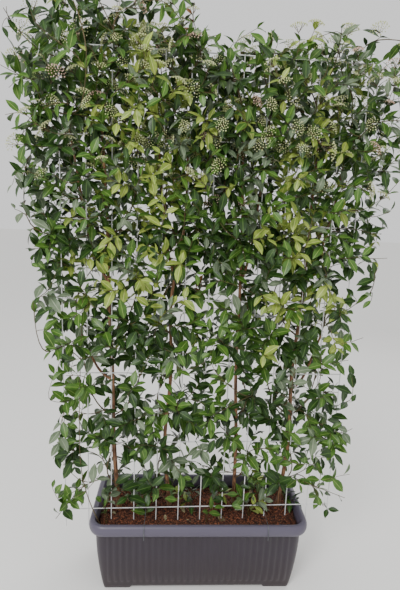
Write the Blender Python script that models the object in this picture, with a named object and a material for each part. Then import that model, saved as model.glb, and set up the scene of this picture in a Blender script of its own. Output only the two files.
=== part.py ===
"""Laurustinus screen: four stems trained on a welded wire panel in a ribbed plastic trough.

Metres, +Z up. The origin is on the ground under the middle of the whole, X runs along the
trough and -Y is the front. The panel stands a little askew and forward of the trough's
middle, so it and the plants are modelled in the panel's own frame and hung on an empty that
turns them. A second empty carries everything and puts the middle of the whole on the origin.
"""
import math
import random

import bmesh
import bpy
from mathutils import Matrix, Vector
from mathutils.bvhtree import BVHTree

CLEAR = 0.0003

# Trough
RIM_LENGTH = 0.966
RIM_WIDTH = 0.414
TROUGH_HEIGHT = 0.350
RIM_DEPTH = 0.052
RIM_ROLL = 0.028
WALL = 0.004
NECK_LENGTH = 0.908
NECK_WIDTH = 0.356
BASE_LENGTH = 0.838
BASE_WIDTH = 0.290
CORNER_RADIUS = 0.073
FLOOR_TOP = 0.016
FOOT_RISE = 0.009
FOOT_INNER_X = 0.310
CORNER_STEPS = 4

# Compost
FILL_HEIGHT = 0.290
ROOT_BALL_RISE = 0.030
ROOT_BALL_SPREAD = 0.075

# Welded wire panel: its lowest cross wire lies on the rim, and rows are counted up from it
COLUMN_PITCH = 0.100
COLUMNS = 13
ROW_PITCH = 0.320
ROWS = 7
WIRE_RADIUS = 0.00225
WELD_OFFSET = 0.0014
WIRE_SIDES = 4
FIRST_ROW = TROUGH_HEIGHT + WIRE_RADIUS
STUB_LENGTH = 0.082
PANEL_YAW = math.radians(2.0)
PANEL_SHIFT = (0.005, -0.066)

# Stems: where each stands in the panel's frame, and how far along it is at rows 1 to 4 and its top
STEM_FEET = ((-0.372, 0.060), (-0.137, 0.085), (0.172, 0.095), (0.378, 0.056))
STEM_CROSSINGS = (
    (-0.391, -0.398, -0.414, -0.420, -0.440),
    (-0.168, -0.149, -0.156, -0.110, -0.105),
    (0.151, 0.134, 0.132, 0.127, 0.110),
    (0.393, 0.384, 0.402, 0.408, 0.420),
)
STEM_RADII = (0.0105, 0.0090, 0.0085, 0.0098)
STEM_TIP_RADIUS = 0.0048
STEM_TOP = 1.973
ROOT_FLARE = 0.45
FLARE_HEIGHT = 0.022
FLARE_TOP = 0.050
STEM_SIDES = 6

# Boughs: stem, side, height where each leaves the stem, reach along the panel and rise
BOUGHS = {
    "bough_1_high": (0, -1, 1.388, 0.150, 0.600),
    "bough_1_low": (0, -1, 0.958, 0.140, 0.230),
    "bough_2_high": (1, -1, 1.418, 0.080, 0.570),
    "bough_3_high": (2, 1, 1.398, 0.085, 0.590),
    "bough_4_high": (3, 1, 1.398, 0.150, 0.590),
    "bough_4_low": (3, 1, 0.918, 0.120, 0.240),
}
BOUGH_RADIUS = 0.0060
BOUGH_TIP_RADIUS = 0.0042
BOUGH_SIDES = 5

# Ties that hold the stems to the cross wires, by stem and row
TIES = ((0, 3), (1, 2), (1, 3), (2, 3), (3, 2), (3, 3))
TIE_RADIUS = 0.0014
TIE_SEGMENTS = 9
TIE_HUG = 0.90

# Wire hooks from the lowest cross wire over the rim: distance along the trough and side
HOOKS = {
    "hook_front_left": (-0.240, -1),
    "hook_front_right": (0.295, -1),
    "hook_back_left": (-0.271, 1),
    "hook_back_right": (0.267, 1),
}
HOOK_RADIUS = 0.0014
HOOK_DROP = 0.058

# Crown outline, measured on the panel's plane
CROWN_FOOT = 0.430
CROWN_FOOT_BESIDE_TROUGH = 0.323
CROWN_HALF_WIDTH_LOW = 0.660
CROWN_HALF_WIDTH_HIGH = 0.770
CROWN_HALF_DEPTH_LOW = 0.160
CROWN_HALF_DEPTH_HIGH = 0.240
CROWN_MIDDLE = 0.030
CROWN_SHOULDER = 2.058
CROWN_TOPS = ((-0.80, 2.28), (-0.55, 2.46), (-0.36, 2.47), (-0.10, 2.42), (0.03, 2.28),
              (0.16, 2.37), (0.24, 2.30), (0.33, 2.36), (0.60, 2.34), (0.80, 2.26))

# Foliage: the levels that its masses are gathered round, and how close its twigs stand
LEVEL_HEIGHTS = (0.558, 0.928, 1.298, 1.698, 2.138)
OUTER_SPREAD = 0.115
INNER_SPREAD = 0.080
TIP_SPREAD_SHARE = 0.6
ANCHOR_BELOW = 0.130
TWIG_SPACING_LOW = 0.285
TWIG_SPACING_HIGH = 0.245
DENSE_HEIGHT = 1.358
TWIG_RADIUS = 0.0036
TWIG_TIP_RADIUS = 0.0022
TWIG_SIDES = 3
TWIG_POINTS = 3
STEM_POINTS = 5
BRANCH_RADIUS = 0.0030
MAIN_REACHES = (0.90, 0.60, 0.35)
MAIN_TWIG_DEPTH = 0.035
LEAF_LENGTH = 0.094
LEAF_WIDTH = 0.047
LEAF_THICKNESS = 0.0024
LEAF_PITCH = 0.042
LEAF_PAIRS = 2
BUD_HEAD_RADIUS = 0.027
BUD_HEAD_LOW = 1.698
BUD_HEAD_EVERY = 4
SPACE_MARGIN = 0.0015
SPARE = 0.0006
SEED = 41

# How far the trough's middle lies from the middle of the whole
MIDDLE_SHIFT = (0.0, 0.036)


def remove_everything():
    for item in list(bpy.data.objects):
        bpy.data.objects.remove(item, do_unlink=True)


def make_material(name, colour, roughness, metallic=0.0):
    material = bpy.data.materials.new(name)
    material.use_nodes = True
    shader = material.node_tree.nodes["Principled BSDF"]
    shader.inputs["Base Color"].default_value = (*colour, 1.0)
    shader.inputs["Roughness"].default_value = roughness
    shader.inputs["Metallic"].default_value = metallic
    return material


def add_object(name, bm, material=None):
    bmesh.ops.recalc_face_normals(bm, faces=bm.faces)
    mesh = bpy.data.meshes.new(name)
    bm.to_mesh(mesh)
    bm.free()
    thing = bpy.data.objects.new(name, mesh)
    bpy.context.scene.collection.objects.link(thing)
    if material:
        mesh.materials.append(material)
    return thing


def evaluated_mesh(thing):
    bpy.context.view_layer.update()
    graph = bpy.context.evaluated_depsgraph_get()
    return bpy.data.meshes.new_from_object(thing.evaluated_get(graph))


def combine(thing, others, operation, solver="EXACT"):
    """Joins or cuts one object with a whole collection, applies it and removes the others."""
    group = bpy.data.collections.new("combine")
    bpy.context.scene.collection.children.link(group)
    for other in others:
        bpy.context.scene.collection.objects.unlink(other)
        group.objects.link(other)
    boolean = thing.modifiers.new("combine", "BOOLEAN")
    boolean.operation = operation
    boolean.operand_type = "COLLECTION"
    boolean.collection = group
    boolean.solver = solver
    result = evaluated_mesh(thing)
    thing.modifiers.clear()
    thing.data = result
    for other in others:
        bpy.data.objects.remove(other, do_unlink=True)
    bpy.data.collections.remove(group)


def keep_largest_body(thing):
    """Drops loose scraps and sealed hollows, so one closed body is left."""
    bm = bmesh.new()
    bm.from_mesh(thing.data)
    unseen = set(bm.faces)
    bodies = []
    while unseen:
        body = set()
        front = [unseen.pop()]
        while front:
            face = front.pop()
            body.add(face)
            for edge in face.edges:
                for linked in edge.link_faces:
                    if linked in unseen:
                        unseen.discard(linked)
                        front.append(linked)
        bodies.append(body)
    bodies.sort(key=len)
    spare = [face for body in bodies[:-1] for face in body]
    bmesh.ops.delete(bm, geom=spare, context="FACES")
    bm.to_mesh(thing.data)
    bm.free()


def smooth_path(points, steps):
    """Catmull-Rom points through the given ones."""
    path = []
    last = len(points) - 1
    for i in range(last):
        a = points[max(i - 1, 0)]
        b = points[i]
        c = points[i + 1]
        d = points[min(i + 2, last)]
        for k in range(steps):
            t = k / steps
            path.append(0.5 * (2 * b + (c - a) * t + (2 * a - 5 * b + 4 * c - d) * t ** 2
                               + (3 * b - a - 3 * c + d) * t ** 3))
    path.append(points[last].copy())
    return path


def tube_mesh(path, radii, sides, start_plane=None):
    """A closed limb round a path. start_plane cuts its first ring flush with a surface."""
    bm = bmesh.new()
    rings = []
    across = Vector((0.0, 1.0, 0.0))
    for i, centre in enumerate(path):
        along = (path[min(i + 1, len(path) - 1)] - path[max(i - 1, 0)]).normalized()
        across = (across - along * across.dot(along)).normalized()
        other = along.cross(across)
        ring = []
        for k in range(sides):
            angle = 2 * math.pi * (k + 0.5) / sides
            spot = centre + radii[i] * (math.cos(angle) * across + math.sin(angle) * other)
            if i == 0 and start_plane:
                point, normal = start_plane
                spot = spot + along * ((point - spot).dot(normal) / along.dot(normal))
            ring.append(bm.verts.new(spot))
        rings.append(ring)
    for ring, following in zip(rings, rings[1:]):
        for k in range(sides):
            j = (k + 1) % sides
            bm.faces.new((ring[k], ring[j], following[j], following[k]))
    bm.faces.new(reversed(rings[0]))
    bm.faces.new(rings[-1])
    return bm


def taper(first, last, count):
    return [first + (last - first) * i / (count - 1) for i in range(count)]


def rounded_rectangle(half_x, half_y, radius):
    """Points round a rectangle with arcs for corners, counter-clockwise from the right end."""
    outline = []
    for quarter in range(4):
        sign_x = 1 if quarter in (0, 3) else -1
        sign_y = 1 if quarter in (0, 1) else -1
        for step in range(CORNER_STEPS + 1):
            angle = math.radians(90) * (quarter + step / CORNER_STEPS)
            x = sign_x * (half_x - radius) + radius * math.cos(angle)
            y = sign_y * (half_y - radius) + radius * math.sin(angle)
            outline.append((x, y))
    return outline


def wall_half_sizes(height):
    """Half length and half width of the trough's outer wall: it curves in towards the base."""
    share = min(height / (TROUGH_HEIGHT - RIM_DEPTH), 1.0)
    bow = 1 - (1 - share) ** 2
    half_x = (BASE_LENGTH + (NECK_LENGTH - BASE_LENGTH) * bow) / 2
    half_y = (BASE_WIDTH + (NECK_WIDTH - BASE_WIDTH) * bow) / 2
    return half_x, half_y


def loft(loops):
    bm = bmesh.new()
    rings = [[bm.verts.new(spot) for spot in loop] for loop in loops]
    for ring, following in zip(rings, rings[1:]):
        for k in range(len(ring)):
            j = (k + 1) % len(ring)
            bm.faces.new((ring[k], ring[j], following[j], following[k]))
    bm.faces.new(rings[0])
    bm.faces.new(rings[-1])
    return bm


def trough_loop(half_x, half_y, height):
    radius = CORNER_RADIUS - (RIM_LENGTH / 2 - half_x)
    return [(x, y, height) for x, y in rounded_rectangle(half_x, half_y, max(radius, 0.012))]


def make_trough(material):
    rim_bottom = TROUGH_HEIGHT - RIM_DEPTH
    loops = []
    for height in (0.0, 0.05, 0.12, 0.20, rim_bottom):
        loops.append(trough_loop(*wall_half_sizes(height), height))
    rim_x = RIM_LENGTH / 2
    rim_y = RIM_WIDTH / 2
    for inset, drop in ((0.004, RIM_DEPTH), (0.0, 0.040), (0.0, 0.020), (0.007, 0.005),
                        (0.016, 0.0), (RIM_ROLL, 0.004)):
        loops.append(trough_loop(rim_x - inset, rim_y - inset, TROUGH_HEIGHT - drop))
    for height in (rim_bottom, FILL_HEIGHT, 0.12, FLOOR_TOP):
        half_x, half_y = wall_half_sizes(height)
        loops.append(trough_loop(half_x - WALL, half_y - WALL, height))
    trough = add_object("trough", loft(loops), material)
    recess = bmesh.new()
    bmesh.ops.create_cube(recess, size=1.0)
    for corner in recess.verts:
        spread = FOOT_INNER_X - (FOOT_RISE if corner.co.z > 0 else 0)
        corner.co = Vector((corner.co.x * 2 * spread, corner.co.y * RIM_WIDTH,
                            FOOT_RISE if corner.co.z > 0 else -FOOT_RISE))
    combine(trough, [add_object("recess", recess)], "DIFFERENCE")
    return trough


def over_trough(x, y):
    """Where a point in the panel's frame lies over the trough."""
    spot = Matrix.Rotation(PANEL_YAW, 2) @ Vector((x, y))
    return spot + Vector(PANEL_SHIFT)


def compost_height(x, y):
    rise = 0.0
    for foot_x, foot_y in STEM_FEET:
        away = (Vector((x, y)) - over_trough(foot_x, foot_y)).length
        rise = max(rise, ROOT_BALL_RISE * math.exp(-(away / ROOT_BALL_SPREAD) ** 2))
    return FILL_HEIGHT + rise


def make_compost(place, material):
    loops = []
    for height in (FLOOR_TOP + CLEAR, 0.12, FILL_HEIGHT):
        half_x, half_y = wall_half_sizes(height)
        inset = WALL + 2 * CLEAR
        loops.append(trough_loop(half_x - inset, half_y - inset, height))
    edge = loops[-1]
    half_x, half_y = wall_half_sizes(FILL_HEIGHT)
    for share in (0.80, 0.50, 0.15):
        trim = half_y * (1 - share)
        ring = []
        for x, y, _ in edge:
            inner_x = x * (half_x - trim) / half_x
            ring.append((inner_x, y * share, compost_height(inner_x, y * share)))
        loops.append(ring)
    compost = add_object("compost", loft(loops), material)
    pockets = []
    for column in range(COLUMNS):
        if abs(column_x(column)) > NECK_LENGTH / 2:
            continue
        foot = (column_x(column), -WELD_OFFSET, FIRST_ROW - STUB_LENGTH - CLEAR)
        head = (column_x(column), -WELD_OFFSET, FIRST_ROW)
        pocket = wire("pocket", foot, head, WIRE_RADIUS + 1.5 * CLEAR)
        pocket.parent = place
        pockets.append(pocket)
    combine(compost, pockets, "DIFFERENCE")
    return compost


def wire(name, start, end, radius):
    path = [Vector(start), Vector(end)]
    return add_object(name, tube_mesh(path, [radius, radius], WIRE_SIDES))


def column_x(column):
    return (column - (COLUMNS - 1) / 2) * COLUMN_PITCH


def row_height(row):
    return FIRST_ROW + row * ROW_PITCH


def make_panel(material):
    bars = []
    over = WIRE_RADIUS * 2
    for column in range(COLUMNS):
        foot = (column_x(column), -WELD_OFFSET, FIRST_ROW - STUB_LENGTH)
        head = (column_x(column), -WELD_OFFSET, row_height(ROWS - 1) + over)
        bars.append(wire(f"upright_{column}", foot, head, WIRE_RADIUS))
    for row in range(ROWS):
        left = (column_x(0) - over, WELD_OFFSET, row_height(row))
        right = (column_x(COLUMNS - 1) + over, WELD_OFFSET, row_height(row))
        bars.append(wire(f"cross_{row}", left, right, WIRE_RADIUS))
    panel = bars[0]
    panel.name = "wire_panel"
    panel.data.materials.append(material)
    combine(panel, bars[1:], "UNION")
    return panel


def stem_radius(stem, height):
    share = (height - FILL_HEIGHT) / (STEM_TOP - FILL_HEIGHT)
    radius = STEM_RADII[stem] + (STEM_TIP_RADIUS - STEM_RADII[stem]) * share
    above_ground = max(height - FILL_HEIGHT - ROOT_BALL_RISE, 0.0)
    return radius * (1 + ROOT_FLARE * math.exp(-above_ground / FLARE_HEIGHT))


def seat_height(compost, spot, radius):
    """The highest point of the compost under a stem's foot."""
    tree = BVHTree.FromObject(compost, bpy.context.evaluated_depsgraph_get())
    highest = 0.0
    directions = 6 * STEM_SIDES
    for k in range(directions):
        angle = 2 * math.pi * k / directions
        for reach in (0.0, radius / 2, radius):
            above = spot + Vector((reach * math.cos(angle), reach * math.sin(angle), 0.2))
            hit = tree.ray_cast(above, Vector((0, 0, -1)))[0]
            highest = max(highest, hit.z)
    return highest


def stem_path(stem, compost, place):
    foot_x, foot_y = STEM_FEET[stem]
    foot = Vector((foot_x, foot_y, FILL_HEIGHT))
    foot.z = seat_height(compost, place.matrix_world @ foot, STEM_RADII[stem] * 1.7) + CLEAR
    points = [foot]
    heights = [row_height(row) for row in range(1, 5)] + [STEM_TOP]
    for x, height in zip(STEM_CROSSINGS[stem], heights):
        behind = WELD_OFFSET + WIRE_RADIUS + CLEAR + stem_radius(stem, height)
        points.append(Vector((x, behind, height)))
    collar = foot.lerp(points[1], FLARE_TOP / (points[1].z - foot.z))
    return smooth_path([foot, collar] + points[1:], 2)


def make_stem(stem, path, material):
    radii = [stem_radius(stem, spot.z) for spot in path]
    level = (path[0], Vector((0, 0, 1)))
    bm = tube_mesh(path, radii, STEM_SIDES, level)
    return add_object(f"stem_{stem + 1}", bm, material)


def along_path(path, height):
    """The point and the direction of a rising path at a height."""
    for start, end in zip(path, path[1:]):
        if start.z <= height <= end.z:
            share = (height - start.z) / (end.z - start.z)
            return start.lerp(end, share), (end - start).normalized()
    return path[-1].copy(), (path[-1] - path[-2]).normalized()


def side_seat(path, radius, height, side):
    """Where something meets the side of a stem: the point and the plane that it sits on."""
    axis, along = along_path(path, height)
    normal = Vector((side, 0, 0))
    normal = (normal - along * normal.dot(along)).normalized()
    return axis + normal * (radius + CLEAR), normal


def make_bough(name, stem_paths, material):
    stem, side, height, reach, rise = BOUGHS[name]
    seat, normal = side_seat(stem_paths[stem], stem_radius(stem, height), height, side)
    quarter = seat + Vector((side * reach * 0.45, 0.012, rise * 0.25))
    tip = seat + Vector((side * reach, 0.026, rise))
    path = smooth_path([seat, quarter, tip], 2)
    radii = taper(BOUGH_RADIUS, BOUGH_TIP_RADIUS, len(path))
    bm = tube_mesh(path, radii, BOUGH_SIDES, (seat, normal))
    return add_object(name, bm, material), path


def ring_mesh(centre, wide, deep, thickness, sides):
    """A closed ring on an ellipse whose two half axes are given as vectors."""
    bm = bmesh.new()
    rings = []
    axis = wide.cross(deep).normalized()
    for i in range(TIE_SEGMENTS):
        angle = 2 * math.pi * i / TIE_SEGMENTS
        spot = centre + wide * math.cos(angle) + deep * math.sin(angle)
        outward = (wide.normalized() * math.cos(angle) / wide.length
                   + deep.normalized() * math.sin(angle) / deep.length).normalized()
        ring = []
        for k in range(sides):
            turn = 2 * math.pi * k / sides
            ring.append(bm.verts.new(spot + thickness * (math.cos(turn) * outward
                                                         + math.sin(turn) * axis)))
        rings.append(ring)
    for i, ring in enumerate(rings):
        following = rings[(i + 1) % TIE_SEGMENTS]
        for k in range(sides):
            j = (k + 1) % sides
            bm.faces.new((ring[k], ring[j], following[j], following[k]))
    return bm


def make_tie(stem, row, stem_paths, material):
    """A loop that crosses the weld in front and passes behind the stem."""
    height = row_height(row)
    axis, _ = along_path(stem_paths[stem], height)
    radius = stem_radius(stem, height)
    slack = TIE_RADIUS + 3 * CLEAR
    front = -WELD_OFFSET - WIRE_RADIUS - slack
    back = axis.y + radius * TIE_HUG + slack
    middle = (front + back) / 2
    deep = (back - front) / 2
    lean = (axis.y - middle) / deep
    wide = (radius * math.sqrt(2) + slack) / math.sqrt(1 - lean ** 2) + slack
    slant = Vector((1, 0, 1)).normalized() * wide
    centre = Vector((axis.x, middle, height))
    bm = ring_mesh(centre, slant, Vector((0, deep * 1.08, 0)), TIE_RADIUS, 3)
    return add_object(f"tie_{stem + 1}_row_{row}", bm, material)


def make_hook(name, place, material):
    """A wire bent round the lowest cross wire at one end and over the rim at the other."""
    along, side = HOOKS[name]
    eye = place.matrix_world @ Vector((along - PANEL_SHIFT[0], WELD_OFFSET, FIRST_ROW))
    turn = WIRE_RADIUS + HOOK_RADIUS + 2 * CLEAR
    path = []
    for degrees in (-60, -10, 40, 90):
        angle = math.radians(degrees)
        path.append(eye + turn * Vector((0, -side * math.cos(angle), math.sin(angle))))
    off = HOOK_RADIUS + 3 * CLEAR
    edge = side * RIM_WIDTH / 2
    for inset, drop in ((RIM_ROLL, -0.5 * off), (0.016, -off), (0.006 - off, 0.003),
                        (-1.3 * off, 0.020), (-1.3 * off, HOOK_DROP)):
        path.append(Vector((along, edge - side * inset, TROUGH_HEIGHT - drop)))
    radii = [HOOK_RADIUS] * len(path)
    return add_object(name, tube_mesh(path, radii, 5), material)


def between(points, x):
    for (x0, z0), (x1, z1) in zip(points, points[1:]):
        if x <= x1:
            return z0 + (z1 - z0) * (x - x0) / (x1 - x0)
    return points[-1][1]


def rise_share(height):
    share = (height - CROWN_FOOT) / (CROWN_SHOULDER - CROWN_FOOT)
    return min(max(share, 0.0), 1.0)


def in_crown(spot):
    share = rise_share(spot.z)
    half_width = CROWN_HALF_WIDTH_LOW + (CROWN_HALF_WIDTH_HIGH - CROWN_HALF_WIDTH_LOW) * share
    half_depth = CROWN_HALF_DEPTH_LOW + (CROWN_HALF_DEPTH_HIGH - CROWN_HALF_DEPTH_LOW) * share
    beside = abs(spot.x) > RIM_LENGTH / 2 + 0.04
    foot = CROWN_FOOT_BESIDE_TROUGH if beside else CROWN_FOOT
    if abs(spot.x) > half_width or abs(spot.y - CROWN_MIDDLE) > half_depth:
        return False
    return foot < spot.z < between(CROWN_TOPS, spot.x)


def in_space(spot, spaces, own):
    """Whether a point is nearer to the middle of its own mass than to any other."""
    if not in_crown(spot):
        return False
    here = Vector((spot.x, spot.z))
    middle = spaces[own]["middle"]
    for k, space in enumerate(spaces):
        if k == own:
            continue
        other = space["middle"]
        beyond = (here - middle).length_squared - (here - other).length_squared
        if beyond > -2 * SPACE_MARGIN * (other - middle).length:
            return False
    return True


def plan_spaces(stem_paths, bough_paths):
    """The masses: the middle of each one's space, and the limb that carries it."""
    spaces = []
    for stem in range(4):
        outer = stem in (0, 3)
        outward = -1 if stem < 2 else 1
        for level, height in enumerate(LEVEL_HEIGHTS):
            one = level == 0 or (level < 3 and not outer)
            for side in ((outward,) if one else (-1, 1)):
                axis, _ = along_path(stem_paths[stem], min(height, STEM_TOP))
                spread = 0.015 if one else (OUTER_SPREAD if outer else INNER_SPREAD)
                limb = None
                if level == 4:
                    limb = f"bough_{stem + 1}_high" if side == outward else "tip"
                if limb == "tip":
                    spread *= TIP_SPREAD_SHARE
                middle = Vector((axis.x + side * spread, height))
                if level == 2 and outer and side == outward:
                    limb = f"bough_{stem + 1}_low"
                if limb == "tip":
                    path = stem_paths[stem]
                elif limb:
                    path = bough_paths[limb]
                if limb:
                    normal = (path[-1] - path[-2]).normalized()
                    seat = path[-1] + normal * CLEAR
                else:
                    seat_level = max(height - ANCHOR_BELOW, CROWN_FOOT + 0.03)
                    seat, normal = side_seat(stem_paths[stem], stem_radius(stem, seat_level),
                                             seat_level, side)
                name = f"foliage_{stem + 1}_level_{level + 1}"
                name += "" if one else ("_left" if side < 0 else "_right")
                spaces.append({"name": name, "middle": middle, "seat": seat, "normal": normal})
    return spaces


def bezier(start, control, end, count):
    path = []
    for i in range(count):
        t = i / (count - 1)
        path.append(start * (1 - t) ** 2 + control * 2 * t * (1 - t) + end * t ** 2)
    return path


def leaf_mesh(base, along, facing, length, width, thickness):
    """An eight-faced leaf: a flat lozenge, widest before its middle."""
    across = along.cross(facing).normalized()
    up = across.cross(along).normalized()
    belly = base + along * length * 0.42
    bm = bmesh.new()
    ends = [bm.verts.new(base), bm.verts.new(base + along * length)]
    rim = []
    for sideways, lift in ((0.5, 0), (0, 0.5), (-0.5, 0), (0, -0.5)):
        rim.append(bm.verts.new(belly + across * width * sideways + up * thickness * lift))
    for k in range(4):
        j = (k + 1) % 4
        bm.faces.new((ends[0], rim[j], rim[k]))
        bm.faces.new((ends[1], rim[k], rim[j]))
    return bm


def bud_head_mesh(base, along, radius):
    """A flat dome of flower buds on a twig's tip."""
    across = along.orthogonal().normalized()
    other = along.cross(across)
    bm = bmesh.new()
    foot = bm.verts.new(base - along * 0.004)
    crest = bm.verts.new(base + along * radius * 0.75)
    ring = []
    for k in range(6):
        angle = math.pi * k / 3
        ring.append(bm.verts.new(base + along * radius * 0.35
                                 + radius * (math.cos(angle) * across + math.sin(angle) * other)))
    for k in range(6):
        j = (k + 1) % 6
        bm.faces.new((foot, ring[j], ring[k]))
        bm.faces.new((crest, ring[k], ring[j]))
    return bm


def fits(bm, spaces, own, limbs, skip=0):
    """Whether a twig or leaf stays in its own space and clear of limbs, wires and trough."""
    for vertex in list(bm.verts)[skip:]:
        if not in_space(vertex.co, spaces, own):
            return False
    return not limbs.overlap(BVHTree.FromBMesh(bm))


def plan_targets(spaces, own, draw):
    """Points spread evenly through a mass's space, which its twigs grow out to."""
    middle = spaces[own]["middle"]
    share = rise_share(middle.y) if middle.y < DENSE_HEIGHT else 1.0
    spacing = TWIG_SPACING_LOW + (TWIG_SPACING_HIGH - TWIG_SPACING_LOW) * share
    targets = []
    for _ in range(2400):
        x = middle.x + draw.uniform(-0.45, 0.45)
        z = middle.y + draw.uniform(-0.35, 0.40)
        level = rise_share(z)
        depth = CROWN_HALF_DEPTH_LOW + (CROWN_HALF_DEPTH_HIGH - CROWN_HALF_DEPTH_LOW) * level
        front = -1 if len(targets) % 2 == 0 else 1
        spot = Vector((x, CROWN_MIDDLE + front * depth * draw.uniform(0.30, 0.86), z))
        if not in_space(spot, spaces, own):
            continue
        if all((spot - other).length > spacing for other in targets):
            targets.append(spot)
    return targets


def grow_leaves(path, draw, spaces, own, limbs):
    """Opposite pairs of leaves down a twig from its tip, each pair turned across the last."""
    leaves = []
    length = sum((b - a).length for a, b in zip(path, path[1:]))
    along = (path[-1] - path[-2]).normalized()
    first = along.orthogonal().normalized()
    first = Matrix.Rotation(draw.uniform(0, math.pi), 3, along) @ first
    for pair in range(LEAF_PAIRS):
        back = 0.006 + pair * LEAF_PITCH
        if back > length - 0.02:
            break
        spot = path[-1] - along * back
        if back > (path[-1] - path[-2]).length:
            rest = back - (path[-1] - path[-2]).length
            before = (path[-2] - path[-3]).normalized()
            spot = path[-2] - before * rest
        for side in (-1, 1):
            splay = first * side if pair % 2 == 0 else along.cross(first) * side
            for _ in range(3):
                heading = along * draw.uniform(0.35, 0.8) + splay + Vector((0, 0, -0.25))
                heading.normalize()
                facing = Vector((draw.uniform(-0.3, 0.3), 0.7 if spot.y > 0 else -0.7, 0.7))
                size = draw.uniform(0.82, 1.12)
                shape = (spot, heading, facing, LEAF_LENGTH * size, LEAF_WIDTH * size)
                wider = leaf_mesh(*shape[:4], shape[4] + 0.002, LEAF_THICKNESS + 0.002)
                if fits(wider, spaces, own, limbs):
                    leaves.append(leaf_mesh(*shape, LEAF_THICKNESS))
                    break
    return leaves


def grow_mass(spaces, own, limbs, material):
    """One stem from its limb, twigs out to every target, and leaves on the twigs."""
    space = spaces[own]
    draw = random.Random(SEED + own)
    targets = plan_targets(spaces, own, draw)
    seat = space["seat"]
    normal = space["normal"]
    targets.sort(key=lambda spot: -(spot - seat).length - 0.6 * (spot.z - seat.z))
    for reach, target in [(reach, target) for reach in MAIN_REACHES for target in targets]:
        end = seat.lerp(Vector((target.x, MAIN_TWIG_DEPTH, target.z)), reach)
        control = seat + (normal + Vector((0, 0, 0.5))) * (end - seat).length * 0.4
        path = bezier(seat, control, end, STEM_POINTS)
        radii = taper(TWIG_RADIUS, TWIG_TIP_RADIUS, STEM_POINTS)
        wider = tube_mesh(path, radii[:1] + [r + SPARE for r in radii[1:]], TWIG_SIDES,
                          (seat, normal))
        if fits(wider, spaces, own, limbs, TWIG_SIDES):
            break
    targets.sort(key=lambda spot: (spot - seat).length)
    pieces = [tube_mesh(path, radii, TWIG_SIDES, (seat, normal))]
    nodes = list(zip(path[1:], path[:-1]))
    pieces += grow_leaves(path, draw, spaces, own, limbs)
    for count, target in enumerate(targets):
        order = sorted(nodes, key=lambda node: branch_cost(node, target))
        for spot, before in order[:5]:
            span = (target - spot).length
            if span < 0.035:
                continue
            bend = spot + (spot - before).normalized() * span * 0.4
            twig = bezier(spot, bend, target, TWIG_POINTS)
            radii = taper(BRANCH_RADIUS, TWIG_TIP_RADIUS, TWIG_POINTS)
            wider = tube_mesh(twig, [r + SPARE for r in radii], TWIG_SIDES)
            if fits(wider, spaces, own, limbs):
                pieces.append(tube_mesh(twig, radii, TWIG_SIDES))
                nodes += zip(twig[1:], twig[:-1])
                pieces += grow_leaves(twig, draw, spaces, own, limbs)
                if target.z > BUD_HEAD_LOW and count % BUD_HEAD_EVERY == 0:
                    along = (twig[-1] - twig[-2]).normalized() + Vector((0, 0, 0.6))
                    head = bud_head_mesh(target, along.normalized(), BUD_HEAD_RADIUS)
                    if fits(head, spaces, own, limbs):
                        pieces.append(head)
                break
    things = [add_object("piece", piece) for piece in pieces]
    mass = things[0]
    mass.name = space["name"]
    mass.data.materials.append(material)
    combine(mass, things[1:], "UNION", "MANIFOLD")
    keep_largest_body(mass)
    return mass


def branch_cost(node, target):
    """Twigs leave from close by, and rather forwards than back."""
    spot, before = node
    away = target - spot
    if away.length < 0.001:
        return 1.0
    forward = away.normalized().dot((spot - before).normalized())
    return away.length * (1.6 - 0.6 * forward)


def tree_of(things, place):
    """All the solids that foliage keeps clear of, in the panel's frame."""
    spots = []
    faces = []
    for thing in things:
        first = len(spots)
        turn = place.matrix_world.inverted() @ thing.matrix_world
        spots += [turn @ vertex.co for vertex in thing.data.vertices]
        faces += [[first + k for k in face.vertices] for face in thing.data.polygons]
    return BVHTree.FromPolygons(spots, faces)


def main():
    remove_everything()
    plastic = make_material("trough plastic", (0.075, 0.068, 0.088), 0.45)
    soil = make_material("compost", (0.085, 0.032, 0.018), 0.95)
    zinc = make_material("galvanised wire", (0.42, 0.43, 0.44), 0.35, 0.9)
    bark = make_material("bark", (0.25, 0.10, 0.05), 0.8)
    tie = make_material("tie", (0.09, 0.02, 0.02), 0.6)
    leaf = make_material("foliage", (0.06, 0.12, 0.03), 0.4)

    place = bpy.data.objects.new("panel_place", None)
    bpy.context.scene.collection.objects.link(place)
    place.location = (*PANEL_SHIFT, 0)
    place.rotation_euler = (0, 0, PANEL_YAW)
    bpy.context.view_layer.update()

    trough = make_trough(plastic)
    panel = make_panel(zinc)
    compost = make_compost(place, soil)
    stem_paths = [stem_path(stem, compost, place) for stem in range(4)]
    stems = [make_stem(stem, stem_paths[stem], bark) for stem in range(4)]
    bough_paths = {}
    boughs = []
    for name in BOUGHS:
        bough, bough_paths[name] = make_bough(name, stem_paths, bark)
        boughs.append(bough)
    ties = [make_tie(stem, row, stem_paths, tie) for stem, row in TIES]
    hooks = [make_hook(name, place, zinc) for name in HOOKS]

    on_panel = [panel] + stems + boughs + ties
    for thing in on_panel:
        thing.parent = place
    bpy.context.view_layer.update()
    limbs = tree_of(on_panel + hooks + [trough, compost], place)
    spaces = plan_spaces(stem_paths, bough_paths)
    for own in range(len(spaces)):
        grow_mass(spaces, own, limbs, leaf).parent = place

    whole = bpy.data.objects.new("whole_place", None)
    bpy.context.scene.collection.objects.link(whole)
    whole.location = (*MIDDLE_SHIFT, 0)
    for thing in [trough, compost, place] + hooks:
        thing.parent = whole


main()
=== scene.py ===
import math
import random

import bmesh
import bpy
from mathutils import Euler, Matrix, Vector, noise


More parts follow.
